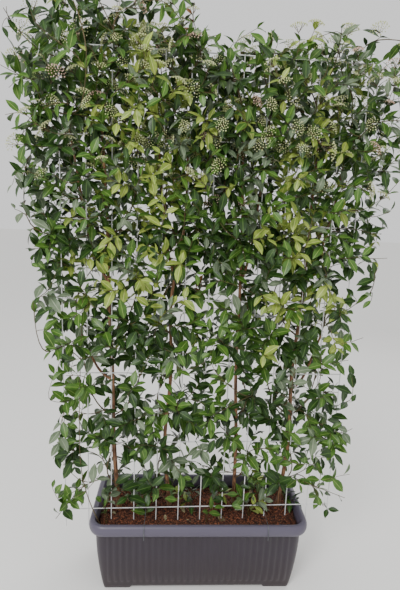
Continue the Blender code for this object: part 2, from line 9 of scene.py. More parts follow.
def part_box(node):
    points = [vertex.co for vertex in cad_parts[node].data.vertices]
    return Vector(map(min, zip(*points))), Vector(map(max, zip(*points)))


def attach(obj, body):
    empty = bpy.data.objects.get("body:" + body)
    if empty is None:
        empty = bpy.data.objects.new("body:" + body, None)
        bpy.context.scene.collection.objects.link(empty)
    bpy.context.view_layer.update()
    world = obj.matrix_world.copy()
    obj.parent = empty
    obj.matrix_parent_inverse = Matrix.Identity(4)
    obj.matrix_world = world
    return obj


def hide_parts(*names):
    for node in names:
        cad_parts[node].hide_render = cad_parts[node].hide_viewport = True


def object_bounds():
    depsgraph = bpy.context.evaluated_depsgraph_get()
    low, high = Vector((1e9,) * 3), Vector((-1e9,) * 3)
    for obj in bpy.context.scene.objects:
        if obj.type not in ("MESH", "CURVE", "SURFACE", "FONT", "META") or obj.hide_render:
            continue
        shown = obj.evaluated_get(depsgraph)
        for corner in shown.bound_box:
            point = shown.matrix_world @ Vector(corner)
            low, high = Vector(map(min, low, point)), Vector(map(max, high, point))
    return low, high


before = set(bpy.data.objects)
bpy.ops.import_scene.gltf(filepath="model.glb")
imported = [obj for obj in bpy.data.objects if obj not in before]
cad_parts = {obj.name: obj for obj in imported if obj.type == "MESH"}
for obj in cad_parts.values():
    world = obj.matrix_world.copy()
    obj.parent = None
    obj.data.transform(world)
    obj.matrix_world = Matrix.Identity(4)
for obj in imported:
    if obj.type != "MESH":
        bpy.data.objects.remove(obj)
cad_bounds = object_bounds()

# The trough: one long tub of moulded polypropylene with a rolled rim, upright ribs along its
# long walls and a foot at each end. It stands on the ground and carries everything else.
TROUGH_LOW, TROUGH_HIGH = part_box("trough")
TROUGH_MIDDLE = (TROUGH_LOW + TROUGH_HIGH) / 2
RIM_HALF_X = (TROUGH_HIGH.x - TROUGH_LOW.x) / 2
RIM_HALF_Y = (TROUGH_HIGH.y - TROUGH_LOW.y) / 2
RIM_TOP = TROUGH_HIGH.z
RIM_DEPTH = 0.052
RIM_ROLL = 0.028
NECK_HALF = (0.454, 0.178)
BASE_HALF = (0.419, 0.145)
CORNER_RADIUS = 0.073
WALL = 0.004
FOOT_RISE = 0.009
FOOT_INNER_X = 0.305
RIB_PITCH = 0.028
RIB_DEPTH = 0.0040
RIB_REACH = 0.406
RIB_FOOT = 0.040
LONG_STEPS = 232
SHORT_STEPS = 22
CORNER_STEPS = 9


def linear(code):
    """An sRGB hex colour as a linear one."""
    channels = []
    for k in (1, 3, 5):
        c = int(code[k:k + 2], 16) / 255
        channels.append(c / 12.92 if c <= 0.04045 else ((c + 0.055) / 1.055) ** 2.4)
    return (*channels, 1.0)


def add_node(tree, kind, values=None, **settings):
    """Adds a node, sets what it is told and links or fills its inputs."""
    node = tree.nodes.new(kind)
    for name, value in settings.items():
        setattr(node, name, value)
    for name, value in (values or {}).items():
        if isinstance(value, bpy.types.NodeSocket):
            tree.links.new(value, node.inputs[name])
        else:
            node.inputs[name].default_value = value
    return node


def new_finish(name, roughness, metallic=0.0):
    """An empty material, its tree, its shader and its Object coordinates."""
    finish = bpy.data.materials.new(name)
    finish.use_nodes = True
    tree = finish.node_tree
    shader = tree.nodes["Principled BSDF"]
    shader.inputs["Roughness"].default_value = roughness
    shader.inputs["Metallic"].default_value = metallic
    place = add_node(tree, "ShaderNodeTexCoord").outputs["Object"]
    return finish, tree, shader, place


def noise_of(tree, place, size, detail=4.0, stretch=(1, 1, 1)):
    """Noise whose blotches are about this many metres across."""
    spread = add_node(tree, "ShaderNodeMapping", {"Vector": place, "Scale": stretch})
    return add_node(tree, "ShaderNodeTexNoise", {
        "Vector": spread.outputs[0], "Scale": 1 / size, "Detail": detail}).outputs["Fac"]


def blend_of(tree, share, first, second):
    """Two colours mixed by a share; each is a hex code or a socket."""
    mix = add_node(tree, "ShaderNodeMix", {0: share}, data_type="RGBA")
    for slot, colour in ((6, first), (7, second)):
        if isinstance(colour, str):
            mix.inputs[slot].default_value = linear(colour)
        else:
            tree.links.new(colour, mix.inputs[slot])
    return mix.outputs[2]


def ramp_of(tree, share, low, high):
    """Spreads the part of a value between low and high over 0 to 1."""
    return add_node(tree, "ShaderNodeMapRange", {
        "Value": share, "From Min": low, "From Max": high}).outputs["Result"]


def relief(tree, shader, height, depth, strength=1.0):
    bump = add_node(tree, "ShaderNodeBump", {
        "Height": height, "Distance": depth, "Strength": strength})
    tree.links.new(bump.outputs["Normal"], shader.inputs["Normal"])


def new_piece(name, mesh):
    piece = bpy.data.objects.new(name, mesh)
    bpy.context.scene.collection.objects.link(piece)
    return piece


def ride_as(piece, slot, *replaced):
    """Puts a finished piece on the one body, for its CAD nodes, which it hides; its slot is not used."""
    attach(piece, "root")
    if replaced:
        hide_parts(*replaced)


def trough_ring(half_x, half_y, radius):
    """Points round a rounded rectangle from its right end, matched across the X axis."""
    ring = []
    for k in range(SHORT_STEPS // 2):
        ring.append((half_x, (half_y - radius) * k / (SHORT_STEPS // 2)))
    for k in range(CORNER_STEPS):
        angle = math.pi / 2 * k / CORNER_STEPS
        ring.append((half_x - radius + radius * math.cos(angle),
                     half_y - radius + radius * math.sin(angle)))
    for k in range(LONG_STEPS // 2):
        ring.append(((half_x - radius) * (1 - k / (LONG_STEPS // 2)), half_y))
    quarter = ring + [(0.0, half_y)]
    half = quarter + [(-x, y) for x, y in reversed(quarter[:-1])]
    return half + [(x, -y) for x, y in reversed(half[1:-1])]


def wall_half_sizes(height):
    """The outer wall curves in towards the base."""
    share = min(max(height, 0.0) / (RIM_TOP - RIM_DEPTH), 1.0)
    bow = 1 - (1 - share) ** 2
    return [base + (neck - base) * bow for base, neck in zip(BASE_HALF, NECK_HALF)]


def smooth_step(low, high, value):
    share = min(max((value - low) / (high - low), 0.0), 1.0)
    return share * share * (3 - 2 * share)


def rib_lift(x, height):
    """How far a rib stands out of a long wall."""
    wave = 0.5 + 0.5 * math.tanh(3.0 * math.cos(2 * math.pi * x / RIB_PITCH))
    ends = 1 - smooth_step(RIB_REACH - 0.006, RIB_REACH, abs(x))
    return RIB_DEPTH * wave * ends * smooth_step(RIB_FOOT, RIB_FOOT + 0.008, height)


def trough_mesh():
    bm = bmesh.new()
    rings = []

    def add_ring(half_x, half_y, height, ribbed=False, foot=False):
        radius = max(CORNER_RADIUS - (RIM_HALF_X - half_x), 0.012)
        ring = []
        for x, y in trough_ring(half_x, half_y, radius):
            lift = height
            if foot:
                lift = height + FOOT_RISE * (1 - smooth_step(FOOT_INNER_X - 0.009,
                                                             FOOT_INNER_X, abs(x)))
            if ribbed and abs(y) > half_y - 0.001:
                y += math.copysign(rib_lift(x, height), y)
            ring.append(bm.verts.new((x + TROUGH_MIDDLE.x, y + TROUGH_MIDDLE.y, lift)))
        rings.append(ring)

    neck = RIM_TOP - RIM_DEPTH
    add_ring(*[half - 0.003 for half in wall_half_sizes(0)], 0.0, foot=True)
    add_ring(*wall_half_sizes(0.003), 0.003, foot=True)
    for height in (0.020, 0.038, 0.044, 0.050, 0.090, 0.140, 0.190, 0.240, 0.280, neck):
        add_ring(*wall_half_sizes(height), height, ribbed=True)
    for turn in range(9):
        angle = math.radians(-60 + 20 * turn)
        inset = 0.016 * (1 - math.cos(angle))
        drop = RIM_DEPTH / 2 * (1 - math.sin(angle) / math.sin(math.radians(100)))
        add_ring(RIM_HALF_X - inset, RIM_HALF_Y - inset, RIM_TOP - max(drop, 0.0))
    add_ring(RIM_HALF_X - RIM_ROLL + 0.004, RIM_HALF_Y - RIM_ROLL + 0.004, RIM_TOP - 0.0012)
    add_ring(RIM_HALF_X - RIM_ROLL, RIM_HALF_Y - RIM_ROLL, RIM_TOP - 0.006)
    for height in (neck, 0.20, 0.02):
        add_ring(*[half - WALL for half in wall_half_sizes(height)], height)
    for ring, following in zip(rings, rings[1:]):
        for k in range(len(ring)):
            j = (k + 1) % len(ring)
            bm.faces.new((ring[k], ring[j], following[j], following[k]))
    for ring in (rings[0], rings[-1]):
        count = len(ring)
        bm.faces.new((ring[0], ring[1], ring[-1]))
        for k in range(1, count // 2 - 1):
            bm.faces.new((ring[k], ring[k + 1], ring[count - k - 1], ring[count - k]))
        bm.faces.new((ring[count // 2 - 1], ring[count // 2], ring[count // 2 + 1]))
    bmesh.ops.recalc_face_normals(bm, faces=bm.faces)
    mesh = bpy.data.meshes.new("trough")
    bm.to_mesh(mesh)
    bm.free()
    mesh.shade_smooth()
    mesh.set_sharp_from_angle(angle=math.radians(50))
    return mesh


# Moulded polypropylene: a satin skin with a fine grain, paler on the rim and darker on the walls below it
# as painted light and shade, and brownish low down from splashed soil.
# The grain is drawn 1.5 mm wide, coarser than the real one, so that it shows.
plastic, tree, shader, place = new_finish("moulded polypropylene", 0.42)
height = add_node(tree, "ShaderNodeSeparateXYZ", {"Vector": place}).outputs["Z"]
low_down = add_node(tree, "ShaderNodeMapRange", {
    "Value": height, "From Min": 0.005, "From Max": 0.21, "To Min": 0.85, "To Max": 0.0})
blotches = noise_of(tree, place, 0.060, 7.0, (1, 1, 0.5))
dusty = add_node(tree, "ShaderNodeMath", {0: low_down.outputs[0], 1: blotches}, operation="MULTIPLY")
# The walls below the rim are coloured darker than the rim: painted shade under the rim's overhang and
# painted light on the rim.
rim_light_wall_shade_mask = ramp_of(tree, height, RIM_TOP - RIM_DEPTH - 0.004, RIM_TOP - RIM_DEPTH + 0.008)
skin = blend_of(tree, rim_light_wall_shade_mask, blend_of(tree, blotches, "#282029", "#332B36"), "#565161")
tree.links.new(blend_of(tree, dusty.outputs[0], skin, "#33251F"), shader.inputs["Base Color"])
worn = add_node(tree, "ShaderNodeMapRange", {"Value": blotches, "To Min": 0.30, "To Max": 0.46})
tree.links.new(worn.outputs[0], shader.inputs["Roughness"])
relief(tree, shader, noise_of(tree, place, 0.0015, 2.0), 0.0003, 0.35)

trough = new_piece("trough_shell", trough_mesh())
trough.data.materials.append(plastic)
ride_as(trough, "trough", "trough")

# The compost: coir and peat round the root balls, heaped a little at each stem, with coarse
# chips, root threads and a few fallen leaves lying on it.
FILL_HEIGHT = 0.290
MOUND_RISE = 0.026
MOUND_SPREAD = 0.090
COMPOST_RINGS = 26
COMPOST_FLOOR = 0.200
PANEL_YAW = math.radians(2.0)
PANEL_SHIFT = Vector((TROUGH_MIDDLE.x + 0.005, TROUGH_MIDDLE.y - 0.066, 0.0))
PANEL_PLACE = Matrix.Translation(PANEL_SHIFT) @ Matrix.Rotation(PANEL_YAW, 4, "Z")
STEM_FEET = ((-0.372, 0.060), (-0.137, 0.085), (0.172, 0.095), (0.378, 0.056))
CHIP_DENSITY = 14000
FALLEN_DENSITY = 190
CHIP_RING = 2
FALLEN_RING = 9


def compost_level(x, y):
    rise = 0.0
    for foot in STEM_FEET:
        away = (Vector((x, y, 0)) - PANEL_PLACE @ Vector((*foot, 0))).length
        rise = max(rise, MOUND_RISE * math.exp(-(away / MOUND_SPREAD) ** 2))
    lumps = noise.turbulence(Vector((x, y, 0.3)) * 22, 4, False) * 0.012
    crumbs = noise.turbulence(Vector((x, y, 1.7)) * 90, 2, False) * 0.005
    return FILL_HEIGHT - 0.006 + rise + lumps + crumbs


def compost_mesh(first=0):
    """The filling as a closed body, or only its top face from one of its rings inwards."""
    bm = bmesh.new()
    rings = []
    edge_half = [half - WALL - 0.0006 for half in wall_half_sizes(FILL_HEIGHT)]
    radius = CORNER_RADIUS - (RIM_HALF_X - edge_half[0])
    edge = trough_ring(*edge_half, radius)
    if not first:
        rings.append([bm.verts.new((x * 0.97 + TROUGH_MIDDLE.x, y * 0.94 + TROUGH_MIDDLE.y,
                                    COMPOST_FLOOR)) for x, y in edge])
    for step in range(first, COMPOST_RINGS):
        trim = edge_half[1] * step / COMPOST_RINGS
        ring = []
        for x, y in edge:
            spot_x = x * (edge_half[0] - trim) / edge_half[0] + TROUGH_MIDDLE.x
            spot_y = y * (edge_half[1] - trim) / edge_half[1] + TROUGH_MIDDLE.y
            ring.append(bm.verts.new((spot_x, spot_y, compost_level(spot_x, spot_y))))
        rings.append(ring)
    for ring, following in zip(rings, rings[1:]):
        for k in range(len(ring)):
            j = (k + 1) % len(ring)
            bm.faces.new((ring[k], ring[j], following[j], following[k]))
    for ring in ((rings[-1],) if first else (rings[0], rings[-1])):
        count = len(ring)
        bm.faces.new((ring[0], ring[1], ring[-1]))
        for k in range(1, count // 2 - 1):
            bm.faces.new((ring[k], ring[k + 1], ring[count - k - 1], ring[count - k]))
        bm.faces.new((ring[count // 2 - 1], ring[count // 2], ring[count // 2 + 1]))
    bmesh.ops.recalc_face_normals(bm, faces=bm.faces)
    bm.faces.ensure_lookup_table()
    if first and bm.faces[0].normal.z < 0:
        bmesh.ops.reverse_faces(bm, faces=bm.faces)
    mesh = bpy.data.meshes.new("compost")
    bm.to_mesh(mesh)
    bm.free()
    mesh.shade_smooth()
    return mesh


def new_tree(name, inputs):
    """A Geometry Nodes tree with a mesh in, a mesh out and the named inputs."""
    tree = bpy.data.node_groups.new(name, "GeometryNodeTree")
    tree.interface.new_socket("Geometry", in_out="INPUT", socket_type="NodeSocketGeometry")
    for socket, kind in inputs:
        tree.interface.new_socket(socket, in_out="INPUT", socket_type="NodeSocket" + kind)
    tree.interface.new_socket("Geometry", in_out="OUTPUT", socket_type="NodeSocketGeometry")
    source = tree.nodes.new("NodeGroupInput").outputs
    return tree, source


def end_tree(tree, geometry, material):
    """Every tree ends in real meshes with their material set."""
    real = add_node(tree, "GeometryNodeRealizeInstances", {"Geometry": geometry})
    dressed = add_node(tree, "GeometryNodeSetMaterial", {
        "Geometry": real.outputs[0], "Material": material})
    add_node(tree, "NodeGroupOutput", {"Geometry": dressed.outputs[0]})


def grow_by(tree, piece, **values):
    """Runs a tree on a piece, whose mesh becomes the plain result."""
    modifier = piece.modifiers.new(tree.name, "NODES")
    modifier.node_group = tree
    for item in tree.interface.items_tree:
        if item.item_type == "SOCKET" and item.name in values:
            modifier[item.identifier] = values[item.name]
    bpy.context.view_layer.update()
    graph = bpy.context.evaluated_depsgraph_get()
    mesh = bpy.data.meshes.new_from_object(piece.evaluated_get(graph))
    piece.modifiers.clear()
    piece.data = mesh
    return piece


def scatter_tree():
    """Drops copies of a template over the upward faces of a surface, turned at random."""
    tree, source = new_tree("scatter", [
        ("Template", "Object"), ("Density", "Float"), ("Smallest", "Float"), ("Largest", "Float"),
        ("Tilt", "Float"), ("Seed", "Int"), ("Material", "Material")])
    normal = add_node(tree, "GeometryNodeInputNormal")
    rise = add_node(tree, "ShaderNodeSeparateXYZ", {"Vector": normal.outputs[0]})
    upward = add_node(tree, "FunctionNodeCompare", {0: rise.outputs["Z"], 1: 0.4},
                      operation="GREATER_THAN")
    points = add_node(tree, "GeometryNodeDistributePointsOnFaces", {
        "Mesh": source["Geometry"], "Selection": upward.outputs[0],
        "Density": source["Density"], "Seed": source["Seed"]})
    tilt = add_node(tree, "ShaderNodeCombineXYZ", {
        "X": source["Tilt"], "Y": source["Tilt"], "Z": math.pi})
    untilt = add_node(tree, "ShaderNodeVectorMath", {0: tilt.outputs[0], 1: (-1, -1, -1)},
                      operation="MULTIPLY")
    turn = add_node(tree, "FunctionNodeRandomValue", {
        0: untilt.outputs[0], 1: tilt.outputs[0], "Seed": source["Seed"]}, data_type="FLOAT_VECTOR")
    size = add_node(tree, "FunctionNodeRandomValue", {
        2: source["Smallest"], 3: source["Largest"], "Seed": source["Seed"]}, data_type="FLOAT")
    template = add_node(tree, "GeometryNodeObjectInfo", {"Object": source["Template"]})
    turned = add_node(tree, "FunctionNodeEulerToRotation", {0: turn.outputs[0]})
    copies = add_node(tree, "GeometryNodeInstanceOnPoints", {
        "Points": points.outputs["Points"], "Instance": template.outputs["Geometry"],
        "Rotation": turned.outputs[0], "Scale": size.outputs[1]})
    end_tree(tree, copies.outputs[0], source["Material"])
    return tree


def chip_template():
    """A flat splinter of coir, 1 unit long."""
    bm = bmesh.new()
    bmesh.ops.create_icosphere(bm, subdivisions=1, radius=0.5)
    for vertex in bm.verts:
        vertex.co = Vector((vertex.co.x, vertex.co.y * 0.42, vertex.co.z * 0.30))
        vertex.co += Vector((0, 0.10 * math.sin(vertex.co.x * 4), 0))
    mesh = bpy.data.meshes.new("chip")
    bm.to_mesh(mesh)
    bm.free()
    return new_piece("chip_template", mesh)


# Leaf blade: widest before its middle, folded along the midrib and bent down to its tip.
# It is one unit long, along +Y from its stalk, with its glossy face up.
LEAF_STATIONS = ((0.0, 0.03, 0.0), (0.10, 0.10, 0.004), (0.30, 0.215, 0.016), (0.52, 0.235, 0.018),
                 (0.76, 0.155, 0.0), (1.0, 0.0, -0.045))
LEAF_FOLD = 0.26


def leaf_template(name, curl=1.0):
    bm = bmesh.new()
    layer = bm.loops.layers.uv.new("UVMap")
    spots = []
    across = []
    for along, half, lift in LEAF_STATIONS:
        row = []
        for side in ((-1, 0, 1) if half else (0,)):
            rise = lift * curl + abs(side) * half * LEAF_FOLD
            row.append(bm.verts.new((side * half, along, rise)))
            across.append(0.5 + 0.5 * side)
        spots.append(row)
    bm.verts.index_update()
    for row, following in zip(spots, spots[1:]):
        for side in (0, 1):
            if len(following) == 1:
                corners = (row[side], row[side + 1], following[0])
            else:
                corners = (row[side], row[side + 1], following[side + 1], following[side])
            face = bm.faces.new(corners)
            for loop in face.loops:
                loop[layer].uv = (across[loop.vert.index], loop.vert.co.y)
    mesh = bpy.data.meshes.new(name)
    bm.to_mesh(mesh)
    bm.free()
    mesh.shade_smooth()
    return new_piece(name, mesh)


# Coir compost: matt, reddish-brown and fibrous, with painted shade making it nearly black in its hollows.
compost_finish, tree, shader, place = new_finish("coir compost", 0.95)
coarse = noise_of(tree, place, 0.012, 6.0)
# The colour follows the bump's height, so the hollows get a painted shade.
earth_with_hollow_shade = blend_of(tree, ramp_of(tree, coarse, 0.36, 0.62), "#120805", "#4E2A1C")
fibres = ramp_of(tree, noise_of(tree, place, 0.004, 5.0, (1, 0.4, 1)), 0.55, 0.72)
tree.links.new(blend_of(tree, fibres, earth_with_hollow_shade, "#85553B"), shader.inputs["Base Color"])
relief(tree, shader, coarse, 0.004)

# Coir chips and splinters: drier and redder than the compost that they lie on.
chip_finish, tree, shader, place = new_finish("dry coir chip", 0.9)
grain = noise_of(tree, place, 0.008, 3.0)
tree.links.new(blend_of(tree, ramp_of(tree, grain, 0.38, 0.62), "#2A130C", "#8F5539"),
               shader.inputs["Base Color"])
relief(tree, shader, noise_of(tree, place, 0.002), 0.0006)

# Fallen leaves: leathery, faded to straw and brown.
fallen_finish, tree, shader, place = new_finish("fallen leaf", 0.6)
fade = ramp_of(tree, noise_of(tree, place, 0.050), 0.40, 0.60)
tree.links.new(blend_of(tree, fade, "#54462A", "#A9A07A"), shader.inputs["Base Color"])
relief(tree, shader, noise_of(tree, place, 0.005), 0.0006)

SCATTER = scatter_tree()
chip = chip_template()
blade = leaf_template("blade_template")
compost = new_piece("compost_bed", compost_mesh())
chips = new_piece("compost_chips", compost_mesh(CHIP_RING))
grow_by(SCATTER, chips, Template=chip, Density=CHIP_DENSITY, Smallest=0.005, Largest=0.018,
        Tilt=0.5, Seed=3, Material=chip_finish)
fallen = new_piece("fallen_leaves", compost_mesh(FALLEN_RING))
grow_by(SCATTER, fallen, Template=blade, Density=FALLEN_DENSITY, Smallest=0.030, Largest=0.055,
        Tilt=0.35, Seed=8, Material=fallen_finish)
compost.data.materials.append(compost_finish)
ride_as(compost, "compost", "compost")
ride_as(chips, "compost")
ride_as(fallen, "compost")
bpy.data.objects.remove(chip)

# The wire panel: 13 uprights 100 mm apart welded to the front of 7 cross wires 320 mm apart,
# of 4.5 mm galvanised steel. The lowest cross wire lies on the rim at both ends.
WIRE_RADIUS = 0.00225
WELD_OFFSET = 0.0014
COLUMN_PITCH = 0.100
COLUMNS = 13
ROW_PITCH = 0.320
ROWS = 7
FIRST_ROW = RIM_TOP + WIRE_RADIUS
STUB_LENGTH = 0.082
PANEL_HALF = (COLUMNS - 1) / 2 * COLUMN_PITCH
PANEL_RISE = (ROWS - 1) * ROW_PITCH


def wire_tree():
    """Copies one straight wire along a line of points."""
    tree, source = new_tree("wires", [
        ("Count", "Int"), ("Step", "Vector"), ("Start", "Vector"), ("Reach", "Vector"),
        ("Radius", "Float"), ("Material", "Material")])
    line = add_node(tree, "GeometryNodeMeshLine", {
        "Count": source["Count"], "Start Location": source["Start"], "Offset": source["Step"]})
    wire = add_node(tree, "GeometryNodeCurvePrimitiveLine", {"End": source["Reach"]})
    profile = add_node(tree, "GeometryNodeCurvePrimitiveCircle", {
        "Resolution": 10, "Radius": source["Radius"]})
    rod = add_node(tree, "GeometryNodeCurveToMesh", {
        "Curve": wire.outputs[0], "Profile Curve": profile.outputs[0], "Fill Caps": True})
    round_rod = add_node(tree, "GeometryNodeSetShadeSmooth", {"Geometry": rod.outputs[0]})
    copies = add_node(tree, "GeometryNodeInstanceOnPoints", {
        "Points": line.outputs[0], "Instance": round_rod.outputs[0]})
    end_tree(tree, copies.outputs[0], source["Material"])
    return tree


def join_meshes(name, pieces):
    """Puts the meshes of several pieces into one and removes them."""
    bm = bmesh.new()
    for piece in pieces:
        bm.from_mesh(piece.data)
    mesh = bpy.data.meshes.new(name)
    bm.to_mesh(mesh)
    bm.free()
    mesh.materials.append(pieces[0].data.materials[0])
    for piece in pieces:
        bpy.data.objects.remove(piece)
    return new_piece(name, mesh)


# Galvanised steel: dull zinc grey with a faint spangle, whiter where it has weathered.
zinc, tree, shader, place = new_finish("galvanised steel", 0.50, 0.70)
spangle = add_node(tree, "ShaderNodeTexVoronoi", {"Vector": place, "Scale": 1 / 0.006})
grey = blend_of(tree, spangle.outputs["Distance"], "#474C4E", "#6C7072")
tree.links.new(blend_of(tree, ramp_of(tree, noise_of(tree, place, 0.050), 0.45, 0.70), grey, "#888B8C"),
               shader.inputs["Base Color"])
relief(tree, shader, noise_of(tree, place, 0.0015), 0.0002, 0.5)

WIRES = wire_tree()
uprights = new_piece("uprights", bpy.data.meshes.new("uprights"))
grow_by(WIRES, uprights, Count=COLUMNS, Step=(COLUMN_PITCH, 0, 0),
        Start=(-PANEL_HALF, -WELD_OFFSET, FIRST_ROW - STUB_LENGTH),
        Reach=(0, 0, STUB_LENGTH + PANEL_RISE + 2 * WIRE_RADIUS), Radius=WIRE_RADIUS, Material=zinc)
crosses = new_piece("crosses", bpy.data.meshes.new("crosses"))
grow_by(WIRES, crosses, Count=ROWS, Step=(0, 0, ROW_PITCH),
        Start=(-PANEL_HALF - 2 * WIRE_RADIUS, WELD_OFFSET, FIRST_ROW),
        Reach=(2 * PANEL_HALF + 4 * WIRE_RADIUS, 0, 0), Radius=WIRE_RADIUS, Material=zinc)
panel = join_meshes("welded_panel", [uprights, crosses])
panel.data.transform(PANEL_PLACE)
ride_as(panel, "wire", "wire_panel")

# The stems and main boughs: four plants, each a slender leader tied to the back of the panel,
# with boughs leaving it in the upper half. Each tapers and flares a little at the root.
STEM_CROSSINGS = (
    (-0.391, -0.398, -0.414, -0.420, -0.440),
    (-0.168, -0.149, -0.156, -0.110, -0.105),
    (0.151, 0.134, 0.132, 0.127, 0.110),
    (0.393, 0.384, 0.402, 0.408, 0.420),
)
STEM_RADII = (0.0105, 0.0090, 0.0085, 0.0098)
STEM_TIP_RADIUS = 0.0048
STEM_TOP = 1.973
ROOT_FLARE = 0.45
FLARE_HEIGHT = 0.022
FLARE_TOP = 0.050
ROOT_BALL_TOP = 0.320
CLEAR = 0.0003
BOUGHS = {
    "bough_1_high": (0, -1, 1.388, 0.150, 0.600),
    "bough_1_low": (0, -1, 0.958, 0.140, 0.230),
    "bough_2_high": (1, -1, 1.418, 0.080, 0.570),
    "bough_3_high": (2, 1, 1.398, 0.085, 0.590),
    "bough_4_high": (3, 1, 1.398, 0.150, 0.590),
    "bough_4_low": (3, 1, 0.918, 0.120, 0.240),
}
BOUGH_RADII = (0.0060, 0.0042)
LIMB_SIDES = 14
LIMB_RELIEF = 0.0011


def row_height(row):
    return FIRST_ROW + row * ROW_PITCH


def stem_radius(stem, height):
    share = (height - FILL_HEIGHT) / (STEM_TOP - FILL_HEIGHT)
    radius = STEM_RADII[stem] + (STEM_TIP_RADIUS - STEM_RADII[stem]) * share
    above_ground = max(height - ROOT_BALL_TOP, 0.0)
    return radius * (1 + ROOT_FLARE * math.exp(-above_ground / FLARE_HEIGHT))


def smooth_path(points, steps):
    """Catmull-Rom points through the given ones."""
    path = []
    last = len(points) - 1
    for i in range(last):
        a = points[max(i - 1, 0)]
        b = points[i]
        c = points[i + 1]
        d = points[min(i + 2, last)]
        for k in range(steps):
            t = k / steps
            path.append(0.5 * (2 * b + (c - a) * t + (2 * a - 5 * b + 4 * c - d) * t ** 2
                               + (3 * b - a - 3 * c + d) * t ** 3))
    path.append(points[last].copy())
    return path


def stem_path(stem):
    foot = Vector((*STEM_FEET[stem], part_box(f"stem_{stem + 1}")[0].z))
    points = []
    heights = [row_height(row) for row in range(1, 5)] + [STEM_TOP]
    for x, height in zip(STEM_CROSSINGS[stem], heights):
        behind = WELD_OFFSET + WIRE_RADIUS + CLEAR + stem_radius(stem, height)
        points.append(Vector((x, behind, height)))
    collar = foot.lerp(points[0], FLARE_TOP / (points[0].z - foot.z))
    return smooth_path([foot, collar] + points, 8)


def along_path(path, height):
    """The point and the direction of a rising path at a height."""
    for start, end in zip(path, path[1:]):
        if start.z <= height <= end.z:
            share = (height - start.z) / (end.z - start.z)
            return start.lerp(end, share), (end - start).normalized()
    return path[-1].copy(), (path[-1] - path[-2]).normalized()


def side_seat(path, radius, height, side):
    """Where something meets the side of a stem: the point and the way it faces."""
    axis, along = along_path(path, height)
    normal = Vector((side, 0, 0))
    normal = (normal - along * normal.dot(along)).normalized()
    return axis + normal * (radius + CLEAR), normal


def bough_path(name):
    stem, side, height, reach, rise = BOUGHS[name]
    seat, _ = side_seat(STEM_PATHS[stem], stem_radius(stem, height) - 0.003, height, side)
    quarter = seat + Vector((side * reach * 0.45, 0.012, rise * 0.25))
    tip = seat + Vector((side * reach, 0.026, rise))
    return smooth_path([seat, quarter, tip], 8)


def path_mesh(name, paths):
    """Lines of edges in the panel's frame, each point with the limb's radius there."""
    bm = bmesh.new()
    girth = bm.verts.layers.float.new("girth")
    for path, radii in paths:
        before = None
        for spot, radius in zip(path, radii):
            vertex = bm.verts.new(PANEL_PLACE @ spot)
            vertex[girth] = radius
            if before:
                bm.edges.new((before, vertex))
            before = vertex
    mesh = bpy.data.meshes.new(name)
    bm.to_mesh(mesh)
    bm.free()
    return mesh


def limb_tree():
    """Lines to round limbs, with the furrows of bark pressed into them."""
    tree, source = new_tree("limbs", [
        ("Sides", "Int"), ("Relief", "Float"), ("Furrow", "Float"), ("Material", "Material")])
    line = add_node(tree, "GeometryNodeMeshToCurve", {"Mesh": source["Geometry"]})
    girth = add_node(tree, "GeometryNodeInputNamedAttribute", {"Name": "girth"}, data_type="FLOAT")
    wide = add_node(tree, "GeometryNodeSetCurveRadius", {
        "Curve": line.outputs[0], "Radius": girth.outputs[0]})
    profile = add_node(tree, "GeometryNodeCurvePrimitiveCircle", {
        "Resolution": source["Sides"], "Radius": 1.0})
    skin = add_node(tree, "GeometryNodeCurveToMesh", {
        "Curve": wide.outputs[0], "Profile Curve": profile.outputs[0], "Fill Caps": True})
    if "Scale" in skin.inputs:
        tree.links.new(girth.outputs[0], skin.inputs["Scale"])
    spot = add_node(tree, "GeometryNodeInputPosition")
    drawn_out = add_node(tree, "ShaderNodeVectorMath", {
        0: spot.outputs[0], 1: (1, 1, 0.18)}, operation="MULTIPLY")
    furrow = add_node(tree, "ShaderNodeTexNoise", {
        "Vector": drawn_out.outputs[0], "Scale": source["Furrow"], "Detail": 3.0})
    centred = add_node(tree, "ShaderNodeMath", {0: furrow.outputs["Fac"], 1: 0.5}, operation="SUBTRACT")
    depth = add_node(tree, "ShaderNodeMath", {0: centred.outputs[0], 1: source["Relief"]},
                     operation="MULTIPLY")
    normal = add_node(tree, "GeometryNodeInputNormal")
    push = add_node(tree, "ShaderNodeVectorMath", {
        0: normal.outputs[0], "Scale": depth.outputs[0]}, operation="SCALE")
    barked = add_node(tree, "GeometryNodeSetPosition", {
        "Geometry": skin.outputs[0], "Offset": push.outputs[0]})
    smooth = add_node(tree, "GeometryNodeSetShadeSmooth", {"Geometry": barked.outputs[0]})
    end_tree(tree, smooth.outputs[0], source["Material"])
    return tree


def taper(first, last, count):
    return [first + (last - first) * i / (count - 1) for i in range(count)]


# Laurustinus bark: thin, reddish-brown and finely streaked along the limb, grey where it scales.
bark, tree, shader, place = new_finish("laurustinus bark", 0.78)
streaks = noise_of(tree, place, 0.006, 5.0, (1, 1, 0.12))
warm = blend_of(tree, ramp_of(tree, streaks, 0.35, 0.65), "#4A2F20", "#A07553")
scales = ramp_of(tree, noise_of(tree, place, 0.030, 5.0, (1, 1, 0.4)), 0.56, 0.70)
tree.links.new(blend_of(tree, scales, warm, "#7A695A"), shader.inputs["Base Color"])
relief(tree, shader, streaks, 0.0012)

